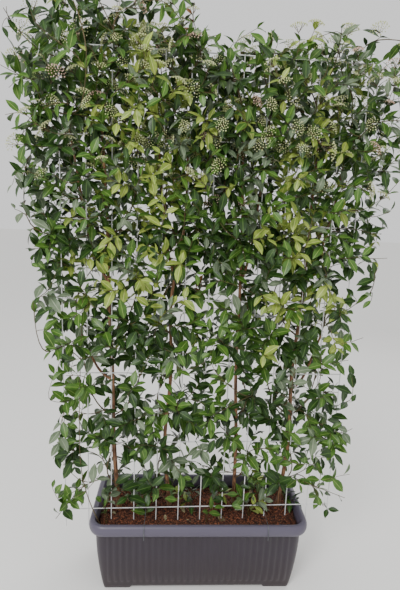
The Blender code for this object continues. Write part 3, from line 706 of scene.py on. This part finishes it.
LIMBS = limb_tree()
STEM_PATHS = [stem_path(stem) for stem in range(4)]
for stem, path in enumerate(STEM_PATHS):
    radii = [stem_radius(stem, spot.z) for spot in path]
    limb = new_piece(f"barked_stem_{stem + 1}", path_mesh("stem", [(path, radii)]))
    grow_by(LIMBS, limb, Sides=LIMB_SIDES, Relief=2 * LIMB_RELIEF, Furrow=160.0, Material=bark)
    ride_as(limb, "bark", f"stem_{stem + 1}")
BOUGH_PATHS = {}
for name in BOUGHS:
    path = bough_path(name)
    BOUGH_PATHS[name] = path
    limb = new_piece("barked_" + name, path_mesh(name, [(path, taper(*BOUGH_RADII, len(path)))]))
    grow_by(LIMBS, limb, Sides=LIMB_SIDES, Relief=LIMB_RELIEF, Furrow=200.0, Material=bark)
    ride_as(limb, "bark", name)

# The ties: loops of soft brown tube that cross the weld in front and pass behind the stem.
TIES = ((0, 3), (1, 2), (1, 3), (2, 3), (3, 2), (3, 3))
TIE_RADIUS = 0.0014
TIE_HUG = 0.90
TIE_STEPS = 26


def tie_path(stem, row):
    height = row_height(row)
    axis, _ = along_path(STEM_PATHS[stem], height)
    radius = stem_radius(stem, height)
    slack = TIE_RADIUS + 3 * CLEAR
    front = -WELD_OFFSET - WIRE_RADIUS - slack
    back = axis.y + radius + slack
    middle = (front + back) / 2
    deep = (back - front) / 2
    lean = (axis.y - middle) / deep
    wide = (radius * math.sqrt(2) + slack) / math.sqrt(1 - lean ** 2) + slack
    slant = Vector((1, 0, 1)).normalized() * wide
    path = []
    for k in range(TIE_STEPS + 1):
        angle = 2 * math.pi * k / TIE_STEPS
        path.append(Vector((axis.x, middle, height)) + slant * math.cos(angle)
                    + Vector((0, deep * math.sin(angle), 0)))
    return path


# Soft PVC tube: brown, slightly glossy, marked along its length.
tie_finish, tree, shader, place = new_finish("soft PVC tube", 0.5)
tree.links.new(blend_of(tree, noise_of(tree, place, 0.004), "#3E1D1C", "#6A3A35"),
               shader.inputs["Base Color"])
relief(tree, shader, noise_of(tree, place, 0.0015), 0.0002)
for stem, row in TIES:
    path = tie_path(stem, row)
    name = f"tie_{stem + 1}_row_{row}"
    tie = new_piece("tube_" + name, path_mesh(name, [(path, [TIE_RADIUS] * len(path))]))
    grow_by(LIMBS, tie, Sides=8, Relief=0.0, Furrow=100.0, Material=tie_finish)
    ride_as(tie, "tie", name)

# The hooks: thin galvanised wire, bent round the lowest cross wire and pulled over the rim,
# two at the front and two at the back, so that the panel can't lift out.
HOOKS = {
    "hook_front_left": (-0.240, -1),
    "hook_front_right": (0.295, -1),
    "hook_back_left": (-0.271, 1),
    "hook_back_right": (0.267, 1),
}
HOOK_RADIUS = 0.0014
HOOK_DROP = 0.058


def hook_path(name):
    """The hook's route, given in the panel's frame as the other limbs are."""
    along, side = HOOKS[name]
    eye = PANEL_PLACE @ Vector((along - 0.005, WELD_OFFSET, FIRST_ROW))
    turn = WIRE_RADIUS + HOOK_RADIUS + 2 * CLEAR
    path = []
    for degrees in range(-60, 91, 15):
        angle = math.radians(degrees)
        path.append(eye + turn * Vector((0, -side * math.cos(angle), math.sin(angle))))
    off = HOOK_RADIUS + 3 * CLEAR
    edge = TROUGH_MIDDLE.y + side * RIM_HALF_Y
    for inset, drop in ((RIM_ROLL, -0.5 * off), (0.016, -off), (0.006 - off, 0.003),
                        (-1.3 * off, 0.020), (-1.3 * off, HOOK_DROP)):
        path.append(Vector((along + TROUGH_MIDDLE.x, edge - side * inset, RIM_TOP - drop)))
    back = PANEL_PLACE.inverted()
    return [back @ spot for spot in path]


for name in HOOKS:
    path = hook_path(name)
    hook = new_piece("wire_" + name, path_mesh(name, [(path, [HOOK_RADIUS] * len(path))]))
    grow_by(LIMBS, hook, Sides=8, Relief=0.0, Furrow=100.0, Material=zinc)
    ride_as(hook, "wire", name)

# The foliage: each mass has one stem on its limb, twigs that branch out through its space, and
# finer twigs from those. Every twig bears leaves in opposite pairs, each pair across the last.
CROWN_FOOT = 0.430
CROWN_FOOT_BESIDE_TROUGH = 0.323
CROWN_HALF_DEPTH = (0.160, 0.240)
CROWN_MIDDLE = 0.030
CROWN_SHOULDER = 2.058
CROWN_LEFT = ((0.32, -0.64), (0.50, -0.66), (0.86, -0.635), (1.19, -0.68), (1.60, -0.72),
              (1.75, -0.77), (1.92, -0.75), (2.12, -0.77), (2.30, -0.74))
CROWN_RIGHT = ((0.32, 0.62), (0.50, 0.655), (0.86, 0.630), (1.30, 0.630), (1.60, 0.690),
               (1.75, 0.690), (1.92, 0.745), (2.12, 0.690), (2.30, 0.710))
TOP_GAP = (-0.03, 0.25, 2.20)
CROWN_TOPS = ((-0.80, 2.28), (-0.55, 2.46), (-0.36, 2.47), (-0.10, 2.42), (0.03, 2.28),
              (0.16, 2.37), (0.24, 2.30), (0.33, 2.36), (0.60, 2.34), (0.80, 2.26))
LEVEL_HEIGHTS = (0.558, 0.928, 1.298, 1.698, 2.138)
OUTER_SPREAD = 0.115
INNER_SPREAD = 0.080
TIP_SPREAD_SHARE = 0.6
ANCHOR_BELOW = 0.130
BRANCH_SPACING = 0.170
SHOOT_SPACING = (0.118, 0.068)
DENSE_HEIGHT = 1.358
LEAF_LENGTH = (0.044, 0.072)
LEAF_PITCH = 0.026
LEAF_PAIRS = 4
YOUNG_SHARE = 0.36
GREY_SHARE = 0.10
AUTUMN_SHARE = 0.004
DEEP_SHARE = 0.50
HEAD_LOW = 1.700
HEAD_SHARE = 0.62
EDGE = 0.004
SEED = 41


def in_box(spot):
    """Whether a point of the panel's frame lies inside the box of the solid model."""
    place = PANEL_PLACE @ spot
    return all(low + EDGE < value < high - EDGE
               for low, value, high in zip(cad_bounds[0], place, cad_bounds[1]))


def between(points, x):
    for (x0, z0), (x1, z1) in zip(points, points[1:]):
        if x <= x1:
            return z0 + (z1 - z0) * (x - x0) / (x1 - x0)
    return points[-1][1]


def rise_share(height):
    return min(max((height - CROWN_FOOT) / (CROWN_SHOULDER - CROWN_FOOT), 0.0), 1.0)


def lerp_pair(pair, share):
    return pair[0] + (pair[1] - pair[0]) * share


def in_crown(spot):
    share = rise_share(spot.z)
    if not between(CROWN_LEFT, spot.z) < spot.x < between(CROWN_RIGHT, spot.z):
        return False
    if abs(spot.y - CROWN_MIDDLE) > lerp_pair(CROWN_HALF_DEPTH, share):
        return False
    foot = CROWN_FOOT_BESIDE_TROUGH if abs(spot.x) > RIM_HALF_X + 0.04 else CROWN_FOOT
    return foot < spot.z < between(CROWN_TOPS, spot.x)


def in_space(spot, own):
    """Whether a point lies in the crown and nearer to its own mass's middle than to others."""
    if not in_crown(spot):
        return False
    here = Vector((spot.x, spot.z))
    mine = (here - SPACES[own]["middle"]).length_squared
    return all(k == own or (here - space["middle"]).length_squared > mine
               for k, space in enumerate(SPACES))


def plan_spaces():
    """The masses, each with the middle of its space and its seat on the limb that carries it."""
    spaces = []
    for stem in range(4):
        outer = stem in (0, 3)
        outward = -1 if stem < 2 else 1
        for level, height in enumerate(LEVEL_HEIGHTS):
            one = level == 0 or (level < 3 and not outer)
            for side in ((outward,) if one else (-1, 1)):
                axis, _ = along_path(STEM_PATHS[stem], min(height, STEM_TOP))
                spread = 0.015 if one else (OUTER_SPREAD if outer else INNER_SPREAD)
                path = None
                if level == 4 and side == outward:
                    path = BOUGH_PATHS[f"bough_{stem + 1}_high"]
                elif level == 4:
                    path = STEM_PATHS[stem]
                    spread *= TIP_SPREAD_SHARE
                elif level == 2 and outer and side == outward:
                    path = BOUGH_PATHS[f"bough_{stem + 1}_low"]
                if path:
                    normal = (path[-1] - path[-2]).normalized()
                    seat = path[-1] - normal * 0.004
                else:
                    seat_level = max(height - ANCHOR_BELOW, CROWN_FOOT + 0.03)
                    radius = stem_radius(stem, seat_level) - 0.003
                    seat, normal = side_seat(STEM_PATHS[stem], radius, seat_level, side)
                name = f"foliage_{stem + 1}_level_{level + 1}"
                name += "" if one else ("_left" if side < 0 else "_right")
                middle = Vector((axis.x + side * spread, height))
                spaces.append({"name": name, "middle": middle, "seat": seat, "normal": normal})
    return spaces


def bezier(start, control, end, count):
    path = []
    for i in range(count):
        t = i / (count - 1)
        path.append(start * (1 - t) ** 2 + control * 2 * t * (1 - t) + end * t ** 2)
    return path


def plan_targets(own, spacing, draw, tries):
    """Points spread evenly through a mass's space, which its twigs grow out to."""
    middle = SPACES[own]["middle"]
    targets = []
    for _ in range(tries):
        x = middle.x + draw.uniform(-0.45, 0.45)
        z = middle.y + draw.uniform(-0.35, 0.40)
        depth = lerp_pair(CROWN_HALF_DEPTH, rise_share(z))
        spot = Vector((x, CROWN_MIDDLE + depth * draw.uniform(-0.90, 0.90), z))
        if not (in_box(spot) and in_space(spot, own)):
            continue
        if TOP_GAP[0] < x < TOP_GAP[1] and z > TOP_GAP[2] and draw.random() < 0.7:
            continue
        if all((spot - other).length > spacing for other in targets):
            targets.append(spot)
    return targets


def branch_cost(node, target):
    """Twigs leave from close by, and rather forwards than back."""
    spot, before = node[:2]
    away = target - spot
    if away.length < 0.001:
        return 1.0
    return away.length * (1.6 - 0.6 * away.normalized().dot((spot - before).normalized()))


def grow_twig(nodes, target, radii, draw, points=5):
    """A twig from the best of the nodes to a target, or None where it would be too short."""
    spot, before = min(nodes, key=lambda node: branch_cost(node, target))
    span = (target - spot).length
    if span < 0.030:
        return None
    sway = Vector((draw.uniform(-1, 1), draw.uniform(-1, 1), draw.uniform(-1, 1))) * span * 0.10
    twig = bezier(spot, spot + (spot - before).normalized() * span * 0.4 + sway, target, points)
    nodes += zip(twig[1:], twig[:-1])
    TWIGS.append((twig, taper(*radii, points)))
    return twig


def spray_kind(spot, draw):
    """Which colour a spray takes from its place: young growth in two upright bands."""
    young = 0.0
    for x, spread in ((-0.30, 0.20), (0.34, 0.17)):
        young = max(young, math.exp(-((spot.x - x) / spread) ** 2))
    young *= smooth_step(0.95, 1.45, spot.z) * (1 - 0.35 * smooth_step(2.15, 2.35, spot.z))
    chance = draw.random()
    if chance < YOUNG_SHARE * young:
        return "young"
    if chance < YOUNG_SHARE * young + GREY_SHARE:
        return "grey"
    if chance < YOUNG_SHARE * young + GREY_SHARE + AUTUMN_SHARE:
        return "autumn"
    return "deep" if draw.random() < DEEP_SHARE else "mid"


def add_leaf(spot, heading, facing, size, kind, test=in_crown):
    """Notes one leaf, unless it would leave the crown."""
    across = heading.cross(facing).normalized()
    up = across.cross(heading).normalized()
    tip = spot + heading * size
    if not (test(tip) and in_box(tip + across * size * 0.2) and in_box(tip - across * size * 0.2)):
        return
    LEAVES[kind].append((spot, Matrix((across, heading, up)).transposed().to_euler(), size))


def leaf_spray(twig, kind, draw, test=in_crown, pairs=LEAF_PAIRS, scale=1.0):
    """Opposite pairs of leaves down a twig from its tip."""
    along = (twig[-1] - twig[-2]).normalized()
    first = along.orthogonal().normalized()
    first = Matrix.Rotation(draw.uniform(0, math.pi), 3, along) @ first
    length = sum((b - a).length for a, b in zip(twig, twig[1:]))
    for pair in range(pairs):
        back = 0.003 + pair * LEAF_PITCH * scale
        if back > length - 0.008:
            break
        rest = back
        spot = twig[-1]
        for end, start in zip(reversed(twig[1:]), reversed(twig[:-1])):
            step = (end - start).length
            if rest <= step:
                spot = end.lerp(start, rest / step)
                break
            rest -= step
        splay = first if pair % 2 == 0 else along.cross(first)
        for side in (-1, 1):
            if pair and draw.random() < 0.10:
                continue
            lean = 1.0 if pair == 0 else draw.uniform(0.35, 0.75)
            heading = along * lean + splay * side + Vector((0, 0, draw.uniform(-0.45, 0.10)))
            heading.normalize()
            outward = 0.55 if spot.y > CROWN_MIDDLE else -0.55
            facing = Vector((draw.uniform(-0.5, 0.5), outward + draw.uniform(-0.35, 0.35), 0.8))
            size = draw.uniform(*LEAF_LENGTH) * (0.72 if pair == 0 else 1.0) * scale
            size *= 1.16 - 0.16 * smooth_step(1.20, 1.70, spot.z)
            add_leaf(spot + heading * 0.003, heading, facing, size, kind, test)


def flower_head(tip, along, draw):
    """A flat corymb: short rays from the twig's tip, with small buds over their ends."""
    along = (along + Vector((0, -0.25, 0.7))).normalized()
    across = along.orthogonal().normalized()
    other = along.cross(across)
    radius = draw.uniform(0.021, 0.036)
    kind = "blush" if draw.random() < 0.10 else "cream"
    if not all(in_box(tip + along * radius + side * radius * 1.1)
               for side in (across, -across, other, -other)):
        return
    for ray in range(6):
        angle = ray * math.pi / 3 + draw.uniform(-0.3, 0.3)
        end = tip + along * radius * 0.7 + radius * 0.62 * (
            math.cos(angle) * across + math.sin(angle) * other)
        TWIGS.append(([tip - along * 0.003, end], [0.0009, 0.0006]))
    for bud in range(int(12 + radius * 900)):
        angle = bud * 2.399963
        reach = math.sqrt((bud + 0.5) / (12 + radius * 900))
        dome = along * radius * (0.95 - 0.40 * reach ** 2)
        spot = tip + dome + radius * reach * (math.cos(angle) * across + math.sin(angle) * other)
        turn = (along + 0.6 * reach * (math.cos(angle) * across + math.sin(angle) * other))
        tilt = turn.to_track_quat("Z", "Y").to_euler()
        BUDS[kind].append((spot, tilt, draw.uniform(0.0042, 0.0062)))


def grow_mass(own):
    """The mass's stem, its branching twigs, and the shoots that fill its space with leaves."""
    space = SPACES[own]
    draw = random.Random(SEED + own)
    middle = space["middle"]
    seat = space["seat"]
    share = rise_share(middle.y) if middle.y < DENSE_HEIGHT else 1.0
    branches = plan_targets(own, BRANCH_SPACING, draw, 900)
    shoots = plan_targets(own, lerp_pair(SHOOT_SPACING, share), draw, 9000)
    end = Vector((middle.x, CROWN_MIDDLE, middle.y + 0.06))
    control = seat + (space["normal"] + Vector((0, 0, 0.5))) * (end - seat).length * 0.4
    path = bezier(seat, control, end, 8)
    TWIGS.append((path, taper(0.0036, 0.0022, 8)))
    nodes = list(zip(path[1:], path[:-1]))
    branches.sort(key=lambda spot: (spot - seat).length)
    shoots.sort(key=lambda spot: (spot - seat).length)
    for target in branches:
        twig = grow_twig(nodes, target, (0.0025, 0.0013), draw, 7)
        if twig:
            leaf_spray(twig, spray_kind(target, draw), draw)
    for target in shoots:
        twig = grow_twig(nodes, target, (0.0015, 0.0009), draw)
        if not twig:
            continue
        leaf_spray(twig, spray_kind(target, draw), draw)
        if target.z > HEAD_LOW and draw.random() < HEAD_SHARE * smooth_step(1.55, 2.05, target.z):
            flower_head(twig[-1], (twig[-1] - twig[-2]).normalized(), draw)


def placed_points(name, items):
    """One point for each leaf or bud, with the turn and size that it takes."""
    bm = bmesh.new()
    turn = bm.verts.layers.float_vector.new("turn")
    size = bm.verts.layers.float.new("size")
    for spot, euler, scale in items:
        vertex = bm.verts.new(PANEL_PLACE @ spot)
        turned = PANEL_PLACE.to_3x3() @ euler.to_matrix()
        vertex[turn] = Vector(turned.to_euler())
        vertex[size] = scale
    mesh = bpy.data.meshes.new(name)
    bm.to_mesh(mesh)
    bm.free()
    return mesh


def spray_tree():
    """Sets a copy of a template at every point, by the point's own turn and size."""
    tree, source = new_tree("sprays", [("Template", "Object"), ("Material", "Material")])
    turn = add_node(tree, "GeometryNodeInputNamedAttribute", {"Name": "turn"},
                    data_type="FLOAT_VECTOR")
    size = add_node(tree, "GeometryNodeInputNamedAttribute", {"Name": "size"}, data_type="FLOAT")
    turned = add_node(tree, "FunctionNodeEulerToRotation", {0: turn.outputs[0]})
    template = add_node(tree, "GeometryNodeObjectInfo", {"Object": source["Template"]})
    copies = add_node(tree, "GeometryNodeInstanceOnPoints", {
        "Points": source["Geometry"], "Instance": template.outputs["Geometry"],
        "Rotation": turned.outputs[0], "Scale": size.outputs[0]})
    end_tree(tree, copies.outputs[0], source["Material"])
    return tree


def bud_template():
    """A plump bud with a blunt tip, one unit across."""
    bm = bmesh.new()
    foot = bm.verts.new((0, 0, -0.55))
    crest = bm.verts.new((0, 0, 0.60))
    ring = []
    for k in range(6):
        angle = math.pi * k / 3
        ring.append(bm.verts.new((0.48 * math.cos(angle), 0.48 * math.sin(angle), 0.08)))
    for k in range(6):
        j = (k + 1) % 6
        bm.faces.new((foot, ring[j], ring[k]))
        bm.faces.new((crest, ring[k], ring[j]))
    mesh = bpy.data.meshes.new("bud")
    bm.to_mesh(mesh)
    bm.free()
    mesh.shade_smooth()
    return new_piece("bud_template", mesh)


def leaf_finish(name, face, shaded, rib, roughness):
    """A leathery leaf: glossy, a little blotched, with a paler midrib and sunk side veins."""
    finish, tree, shader, place = new_finish(name, roughness)
    shader.inputs["Specular IOR Level"].default_value = 0.35
    blade_map = add_node(tree, "ShaderNodeUVMap", uv_map="UVMap")
    parts = add_node(tree, "ShaderNodeSeparateXYZ", {"Vector": blade_map.outputs[0]})
    off_rib = add_node(tree, "ShaderNodeMath", {0: parts.outputs["X"], 1: 0.5}, operation="SUBTRACT")
    off_rib = add_node(tree, "ShaderNodeMath", {0: off_rib.outputs[0]}, operation="ABSOLUTE")
    rib_share = ramp_of(tree, off_rib.outputs[0], 0.055, 0.02)
    slanted = add_node(tree, "ShaderNodeMath", {
        0: off_rib.outputs[0], 1: -0.55, 2: parts.outputs["Y"]}, operation="MULTIPLY_ADD")
    veins = add_node(tree, "ShaderNodeMath", {0: slanted.outputs[0], 1: 52.0}, operation="MULTIPLY")
    veins = add_node(tree, "ShaderNodeMath", {0: veins.outputs[0]}, operation="SINE")
    blotched = blend_of(tree, ramp_of(tree, noise_of(tree, place, 0.035), 0.35, 0.65), shaded, face)
    tree.links.new(blend_of(tree, rib_share, blotched, rib), shader.inputs["Base Color"])
    relief(tree, shader, veins.outputs[0], 0.0004, 0.35)
    return finish


# Leaves: evergreen and leathery, each kind a plain colour dealt out spray by spray.
LEAF_FINISHES = {
    "deep": leaf_finish("deep green leaf", "#2F4C1D", "#1E3513", "#557238", 0.32),
    "mid": leaf_finish("mid green leaf", "#52762C", "#385A1E", "#819C50", 0.33),
    "young": leaf_finish("young yellow-green leaf", "#9CAD4E", "#748C3B", "#C2CA7A", 0.38),
    "grey": leaf_finish("grey-green leaf underside", "#76856A", "#5A6B50", "#98A388", 0.60),
    "autumn": leaf_finish("ageing russet leaf", "#8A5630", "#643B22", "#A5804F", 0.50),
}

# Twigs: thin, green-brown and reddish where the light catches them.
twig_finish, tree, shader, place = new_finish("laurustinus twig", 0.6)
tree.links.new(blend_of(tree, noise_of(tree, place, 0.030, 3.0), "#35261A", "#66582F"),
               shader.inputs["Base Color"])
relief(tree, shader, noise_of(tree, place, 0.003), 0.0004)

# Flower buds: waxy and matt, cream with a green cast, a few flushed with pink.
BUD_FINISHES = {}
for kind, pale, shaded in (("cream", "#DCDEAC", "#A2AC6E"), ("blush", "#E6CBB6", "#BC9280")):
    finish, tree, shader, place = new_finish(kind + " flower bud", 0.55)
    tree.links.new(blend_of(tree, ramp_of(tree, noise_of(tree, place, 0.006), 0.35, 0.65),
                            shaded, pale), shader.inputs["Base Color"])
    relief(tree, shader, noise_of(tree, place, 0.002), 0.0003)
    BUD_FINISHES[kind] = finish

TWIGS = []
LEAVES = {kind: [] for kind in LEAF_FINISHES}
BUDS = {kind: [] for kind in BUD_FINISHES}
SPACES = plan_spaces()
for own in range(len(SPACES)):
    grow_mass(own)

# One long bare shoot: it rises from the left end of the trough, in front of the panel.
BARE_SHOOT = ((-0.430, -0.060, 0.285), (-0.520, -0.075, 0.620), (-0.505, -0.080, 1.330))
TWIGS.append((smooth_path([Vector(spot) for spot in BARE_SHOOT], 12), taper(0.0024, 0.0011, 25)))

# Low shoots: seedlings and suckers that stand in the compost between the stems.
LOW_SHOOTS = ((-0.420, -0.020), (-0.330, 0.110), (-0.240, 0.020), (-0.040, 0.050), (0.030, -0.020),
              (0.090, 0.090), (0.230, 0.010), (0.300, 0.120), (0.425, 0.060), (-0.100, 0.160))


def over_compost(spot):
    return spot.z > FILL_HEIGHT + 0.010


for number, (x, y) in enumerate(LOW_SHOOTS):
    draw = random.Random(SEED * 3 + number)
    foot = Vector((x, y, FILL_HEIGHT - 0.005))
    for _ in range(draw.randint(2, 4)):
        tip = foot + Vector((draw.uniform(-0.06, 0.06), draw.uniform(-0.05, 0.05),
                             draw.uniform(0.07, 0.17)))
        bend = foot + Vector((draw.uniform(-0.02, 0.02), 0, 0.06))
        twig = bezier(foot, bend, tip, 6)
        TWIGS.append((twig, taper(0.0018, 0.0010, 6)))
        leaf_spray(twig, draw.choice(("mid", "mid", "deep", "young", "grey")), draw,
                   over_compost, 3, 0.95)

twigs = new_piece("twigs", path_mesh("twigs", TWIGS))
grow_by(LIMBS, twigs, Sides=4, Relief=0.0, Furrow=100.0, Material=twig_finish)
SPRAYS = spray_tree()
bud = bud_template()
foliage = []
for kind, finish in LEAF_FINISHES.items():
    leaves = new_piece(f"leaves_{kind}", placed_points(kind, LEAVES[kind]))
    foliage.append(grow_by(SPRAYS, leaves, Template=blade, Material=finish))
for kind, finish in BUD_FINISHES.items():
    buds = new_piece(f"buds_{kind}", placed_points(kind, BUDS[kind]))
    foliage.append(grow_by(SPRAYS, buds, Template=bud, Material=finish))
for piece in foliage:
    ride_as(piece, "foliage")
ride_as(twigs, "foliage", *[space["name"] for space in SPACES])
bpy.data.objects.remove(blade)
bpy.data.objects.remove(bud)

# The setting: a pale floor under a pale sky, one large soft light in front and one behind.
floor_mesh = bpy.data.meshes.new("floor")
reach = 30.0
floor_mesh.from_pydata([(-reach, -reach, 0), (reach, -reach, 0), (reach, reach, 0),
                        (-reach, reach, 0)], [], [(0, 1, 2, 3)])
floor = new_piece("floor", floor_mesh)
pale, tree, shader, place = new_finish("pale floor", 0.9)
shader.inputs["Base Color"].default_value = linear("#F4F3F0")
floor.data.materials.append(pale)

world = bpy.data.worlds.new("pale sky")
bpy.context.scene.world = world
world.use_nodes = True
sky = world.node_tree.nodes["Background"]
sky.inputs["Color"].default_value = (1.0, 1.0, 1.0, 1.0)
sky.inputs["Strength"].default_value = 1.0


def soft_light(name, spot, aim, size, power):
    lamp = bpy.data.lights.new(name, "AREA")
    lamp.shape = "DISK"
    lamp.size = size
    lamp.energy = power
    light = bpy.data.objects.new(name, lamp)
    light.location = spot
    light.rotation_euler = (Vector(aim) - Vector(spot)).to_track_quat("-Z", "Y").to_euler()
    bpy.context.scene.collection.objects.link(light)


soft_light("front_light", (-1.8, -3.2, 3.6), (0, 0, 1.2), 1.6, 130)
soft_light("back_light", (2.2, 3.0, 3.4), (0, 0, 1.3), 2.2, 40)

# The camera stands at eye height in front of the trough, a little left of its middle.
CAMERA_SPOT = Vector((-0.1355, -1.8741, 1.6795))
CAMERA_YAW = 0.056
CAMERA_PITCH = -0.1835
CAMERA_ROLL = 0.0387
FOCAL_PIXELS = 450
FRAME_PIXELS = 590
ahead = Vector((math.sin(CAMERA_YAW) * math.cos(CAMERA_PITCH),
                math.cos(CAMERA_YAW) * math.cos(CAMERA_PITCH), math.sin(CAMERA_PITCH)))
level = Vector((math.cos(CAMERA_YAW), -math.sin(CAMERA_YAW), 0))
upright = level.cross(ahead)
right = math.cos(CAMERA_ROLL) * level + math.sin(CAMERA_ROLL) * upright
top = -math.sin(CAMERA_ROLL) * level + math.cos(CAMERA_ROLL) * upright
camera_data = bpy.data.cameras.new("camera")
camera_data.sensor_width = 36
camera_data.lens = 36 * FOCAL_PIXELS / FRAME_PIXELS
camera = bpy.data.objects.new("camera", camera_data)
camera.matrix_world = Matrix.Translation(CAMERA_SPOT) @ Matrix((right, top, -ahead)).transposed().to_4x4()
bpy.context.scene.collection.objects.link(camera)
bpy.context.scene.camera = camera
